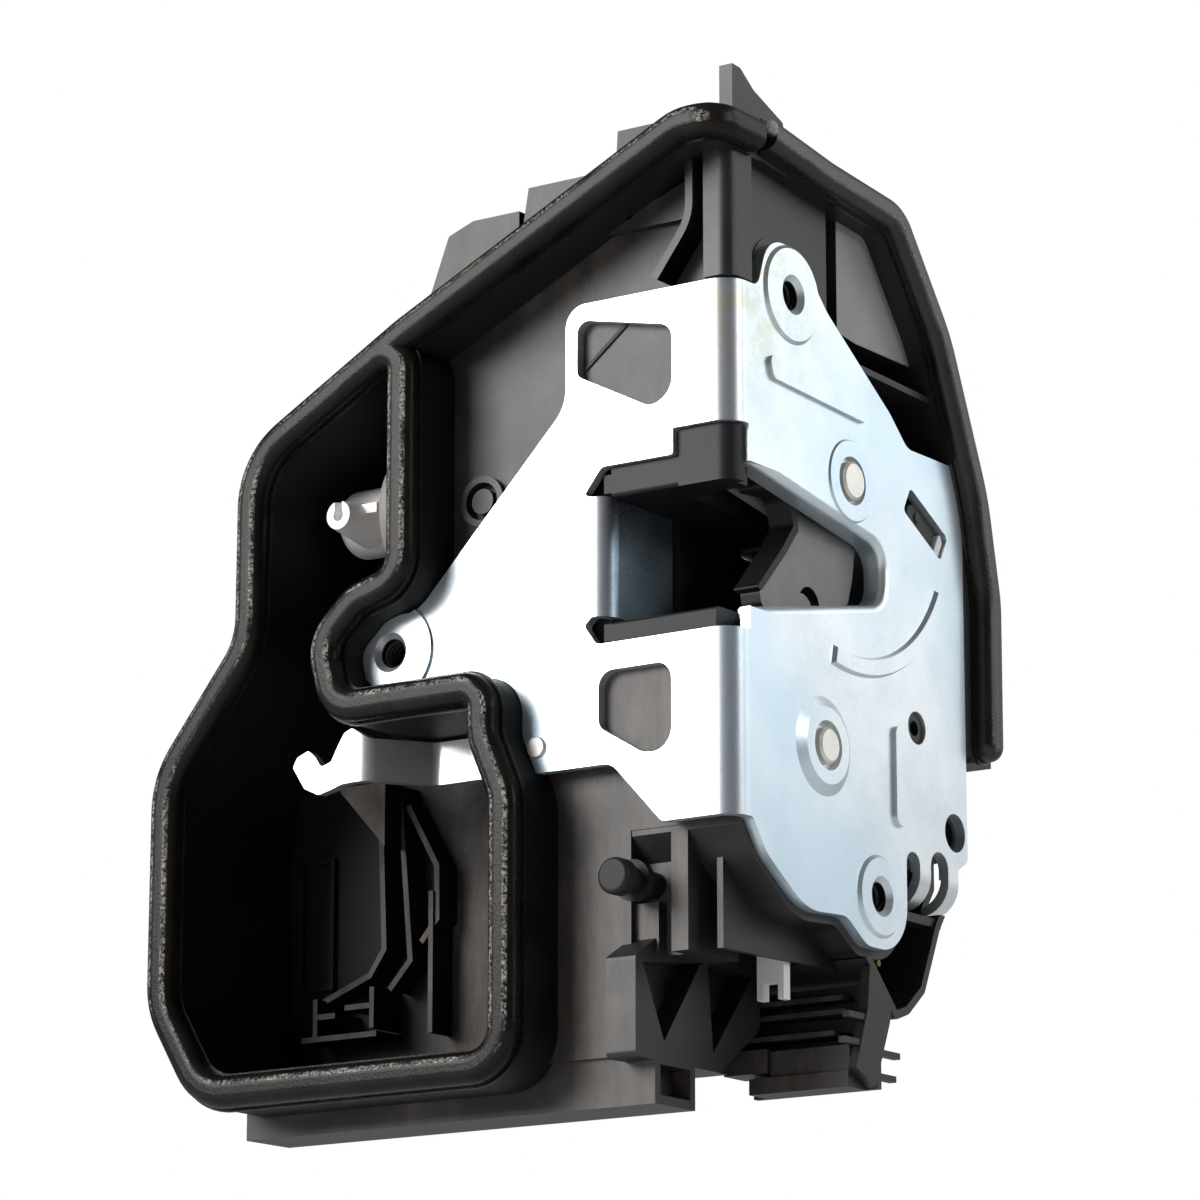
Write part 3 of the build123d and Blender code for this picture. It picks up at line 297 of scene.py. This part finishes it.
black = plastic("black_plastic", (0.006, 0.006, 0.007), (0.016, 0.015, 0.015), rough=(0.36, 0.58), dust_and_sheen=0.85)
tub_black = plastic("tub_black", (0.004, 0.0045, 0.006), (0.010, 0.010, 0.011), rough=(0.45, 0.65), spec=0.18,
                    dust_and_sheen=0.95, deep=True)
satin_black = plastic("satin_black", (0.005, 0.005, 0.006), (0.012, 0.011, 0.012), rough=(0.42, 0.58), spec=0.3)
grey = plastic("grey_plastic", (0.16, 0.145, 0.135), (0.27, 0.25, 0.235), rough=(0.45, 0.65))
dull_grey = plastic("dull_grey", (0.036, 0.036, 0.035), (0.062, 0.061, 0.058), rough=(0.5, 0.7), spec=0.3)
nylon = plastic("white_nylon", (0.74, 0.725, 0.71), (0.84, 0.825, 0.81), rough=(0.28, 0.45), grain=500, bump=0.06)
nylon.p.inputs["Subsurface Weight"].default_value = 0.25
nylon.p.inputs["Subsurface Radius"].default_value = (0.004, 0.0035, 0.003)
acetal = plastic("acetal", (0.55, 0.52, 0.45), (0.66, 0.63, 0.56), rough=(0.3, 0.5))
plate_zinc = zinc("plate_zinc", (0.80, 0.85, 0.88), (0.62, 0.69, 0.74), stain_and_shade=True, shade_band=0.95)
# on bright zinc the shade band paints shade on faces turned towards (1, -1, 0), such as the inside lever's slanted
# face
bright_zinc = zinc("bright_zinc", (0.80, 0.80, 0.79), (0.62, 0.62, 0.60), shade_band=0.9)
pin_steel = zinc("pin_steel", (0.80, 0.78, 0.73), (0.62, 0.60, 0.56), rough=(0.3, 0.5))
dark_steel = zinc("dark_steel", (0.055, 0.053, 0.052), (0.026, 0.025, 0.025), rough=(0.45, 0.65), metal=0.3)
wire_steel = zinc("wire_steel", (0.45, 0.45, 0.45), (0.3, 0.3, 0.3))
brass = zinc("brass", (0.75, 0.58, 0.28), (0.6, 0.45, 0.2))
side_rubber = rubber("side_rubber", ((-0.45, -1, 0.1), (0.40, -1, 0.0), (0, -1, 0.42)))
end_rubber = rubber("end_rubber", ((1, 0.35, 0.35), (1, -0.2, -0.2)), chalk_and_highlight=0.28, fine=3200, spec=0.5)
claw_steel = leaf("claw_steel")

FINISH = {
    plate_zinc: ("latch_plate", "back_plate"),
    pin_steel: ("claw_pin", "pawl_pin", "flange_rivet", "wheel_pin", "lever_pin"),
    claw_steel: ("claw",),
    dark_steel: ("pawl",),
    wire_steel: ("claw_spring", "pawl_spring"),
    satin_black: ("claw_cover", "mouth_guide", "switches", "bumper_stud"),
    black: ("housing_body", "housing_cover", "harness_guide", "connector_shell"),
    tub_black: ("pocket_tub",),
    bright_zinc: ("cover_screws", "lock_motor", "inside_lever"),
    acetal: ("worm", "worm_wheel", "lock_slider"),
    nylon: ("lock_crank", "nylon_tab"),
    grey: ("crank_collar", "circuit_carrier"),
    brass: ("contact_pins",),
    side_rubber: ("side_seal",),
    end_rubber: ("end_seal",)}
for finish, names in FINISH.items():
    for name in names:
        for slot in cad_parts[name].material_slots:
            slot.material = finish.m


# ---------------------------------------------------------------- details that ride on the housing
def piece(name, verts, faces, mat):
    """Mesh piece riding on the housing, in millimetres of the part's frame."""
    mesh = bpy.data.meshes.new(name)
    mesh.from_pydata([Vector(v) * MM for v in verts], [], faces)
    mesh.materials.append(mat.m)
    o = bpy.data.objects.new(name, mesh)
    S.collection.objects.link(o)
    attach(o, "housing")
    return o


def thread(name, origin, axis, u, v, crest=0.26, pitch=1.0, steps=28):
    """Helical ridge inside a fixing hole, fading out at both ends."""
    verts, faces = [], []
    origin, axis, u, v = Vector(origin), Vector(axis), Vector(u), Vector(v)
    half_flank, foot = 0.4, 0.12
    last = int(THREAD_LENGTH / pitch) * steps
    for i in range(last + 1):
        a = 2 * math.pi * i / steps
        out = u * math.cos(a) + v * math.sin(a)
        at = origin + axis * (pitch * i / steps)
        fade = min(1.0, i / 6, (last - i) / 6)
        flank = axis * half_flank * fade
        verts += [at + out * THREAD_R - flank, at + out * (THREAD_R - crest * fade), at + out * THREAD_R + flank,
                  at + out * (THREAD_R + foot)]
        if i:
            b = 4 * (i - 1)
            faces += [(b + k, b + (k + 1) % 4, b + 4 + (k + 1) % 4, b + 4 + k) for k in range(4)]
    faces += [(3, 2, 1, 0), tuple(4 * last + k for k in range(4))]
    return piece(name, verts, faces, dark_steel)


def solid(name, outline, plane, lo, hi, mat):
    """Prism of a closed outline: plane "x" takes (Y, Z) points, plane "y" takes (X, Z) points."""
    put = (lambda p, t: (t, *p)) if plane == "x" else (lambda p, t: (p[0], t, p[1]))
    n = len(outline)
    verts = [put(p, lo) for p in outline] + [put(p, hi) for p in outline]
    faces = [tuple(range(n)), tuple(range(2 * n - 1, n - 1, -1))]
    faces += [(i, n + i, n + (i + 1) % n, (i + 1) % n) for i in range(n)]
    o = piece(name, verts, faces, mat)
    bm = bmesh.new()
    bm.from_mesh(o.data)
    bmesh.ops.recalc_face_normals(bm, faces=bm.faces)
    bmesh.ops.bevel(bm, geom=list(bm.edges), offset=0.12 * MM, segments=1, affect="EDGES")
    bm.to_mesh(o.data)
    bm.free()
    return o


def arc(cx, cy, r, a0, a1, n=10):
    """Points along an arc, angles in degrees."""
    angles = [math.radians(a0 + (a1 - a0) * i / n) for i in range(n + 1)]
    return [(cx + r * math.cos(a), cy + r * math.sin(a)) for a in angles]


def in_slot(points):
    """Points of the slanted slot's own axes as (Y, Z) of the part."""
    tilt, y0, z0 = math.radians(-28), 63.3, 13.4
    return [(y0 + y * math.cos(tilt) - z * math.sin(tilt), z0 + y * math.sin(tilt) + z * math.cos(tilt))
            for y, z in points]


# rounded end of the striker channel's back wall
solid("channel_end", [(40.1, 6.4), *arc(43.4, 0.8, 5.4, 80, -80), (40.1, -7.4)], "x", -25.9, -25.2, satin_black)
# tongue and clip seen in the slanted slot
solid("slot_tongue", in_slot([(-4.6, -2.3), (4.9, -2.3), (4.9, 2.3), (-3.2, 2.3), (-4.6, 1.0)]), "x",
      -2.0, -1.3, dull_grey)
solid("slot_tongue_boss", in_slot(arc(-1.4, 0.6, 1.1, 0, 324, 9)), "x", -1.25, -0.95, dull_grey)
solid("slot_clip", in_slot([(5.1, -2.2), (6.9, -2.2), (6.9, 1.2), (5.6, 2.2), (5.1, 1.6)]), "x", -1.9, -0.5, nylon)
# edge of the step behind the upper window
solid("window_edge", [(-32.3, 33.4), (-31.7, 32.9), (-22.0, 40.5), (-22.9, 40.9)], "y", 1.65, 2.1, satin_black)

for name, (hole_y, hole_z) in END_HOLES.items():
    thread(name, (-PLATE_BACK, hole_y, hole_z), (1, 0, 0), (0, 1, 0), (0, 0, 1))
thread("thread_side", (SIDE_HOLE[0], PLATE_BACK, SIDE_HOLE[1]), (0, -1, 0), (1, 0, 0), (0, 0, 1))


# ---------------------------------------------------------------- camera
CAM_AT = Vector((450.89, -689.49, -209.03)) * MM
AZ, EL, ROLL = math.radians(34.762), math.radians(-13.391), math.radians(-0.03)
look = Vector((-math.sin(AZ) * math.cos(EL), math.cos(AZ) * math.cos(EL), -math.sin(EL)))
right = look.cross(Vector((0, 0, 1))).normalized()
up = right.cross(look)
cam_data = bpy.data.cameras.new("camera")
cam = bpy.data.objects.new("camera", cam_data)
S.collection.objects.link(cam)
cam.matrix_world = (Matrix.Translation(CAM_AT) @ Matrix((right, up, -look)).transposed().to_4x4()
                    @ Matrix.Rotation(ROLL, 4, "Z"))
cam_data.sensor_width = 36.0
cam_data.lens = 150.0
cam_data.clip_end = 20
S.camera = cam
S.view_settings.view_transform = "Standard"


# ---------------------------------------------------------------- studio
def lamp(name, at, target, watts, span, color=(1, 1, 1)):
    """Square area lamp, in metres, turned towards its target."""
    data = bpy.data.lights.new(name, "AREA")
    data.energy = watts
    data.size = span
    data.color = color
    o = bpy.data.objects.new(name, data)
    o.location = at
    o.rotation_euler = (Vector(target) - Vector(at)).to_track_quat("-Z", "Y").to_euler()
    S.collection.objects.link(o)


lamp("key", (-0.75, -1.25, 0.55), (0, 0, 0), 26, 0.8)
lamp("back", (1.05, 1.05, 0.75), (0, 0.02, 0), 5, 1.0, (0.93, 0.97, 1.0))
lamp("right", (1.5, 0.25, 0.6), (0, 0.02, 0), 5, 0.5)
lamp("under", (-0.2, -1.0, -0.8), (0, 0, 0), 3, 0.5)


def studio_world():
    """White to the camera; for the part, bright walls before and behind it and dark sides."""
    world = bpy.data.worlds.new("studio")
    S.world = world
    world.use_nodes = True
    tree = world.node_tree
    new, join = tree.nodes.new, tree.links.new
    background = tree.nodes["Background"]
    background.inputs["Color"].default_value = (1, 1, 1, 1)

    path = new("ShaderNodeLightPath")
    seen = new("ShaderNodeMath")
    seen.operation = "MAXIMUM"
    join(path.outputs["Is Camera Ray"], seen.inputs[0])
    join(path.outputs["Is Transmission Ray"], seen.inputs[1])

    way = new("ShaderNodeTexCoord")
    along = new("ShaderNodeVectorMath")
    along.operation = "DOT_PRODUCT"
    along.inputs[1].default_value = (0.56, 0.82, 0.10)
    join(way.outputs["Generated"], along.inputs[0])
    both = new("ShaderNodeMath")
    both.operation = "ABSOLUTE"
    join(along.outputs["Value"], both.inputs[0])
    walls = new("ShaderNodeMapRange")
    walls.interpolation_type = "SMOOTHSTEP"
    for key, value in {"From Min": 0.45, "From Max": 0.95, "To Min": 0.06, "To Max": 0.60}.items():
        walls.inputs[key].default_value = value
    join(both.outputs[0], walls.inputs["Value"])

    level = new("ShaderNodeMix")
    level.inputs[3].default_value = 1.0
    join(seen.outputs[0], level.inputs[0])
    join(walls.outputs["Result"], level.inputs[2])
    join(level.outputs[0], background.inputs["Strength"])


studio_world()

floor_mesh = bpy.data.meshes.new("floor")
bm = bmesh.new()
bmesh.ops.create_grid(bm, x_segments=2, y_segments=2, size=3.0)
bm.to_mesh(floor_mesh)
bm.free()
floor = bpy.data.objects.new("floor", floor_mesh)
floor.location = (0, 0, -0.26)
S.collection.objects.link(floor)
pale = Mat("pale_floor", (0.86, 0.86, 0.86), rough=0.9)
pale.color(pale.greys(pale.noise(3, 3), (0.3, 0.84), (0.7, 0.88)))
floor_mesh.materials.append(pale.m)
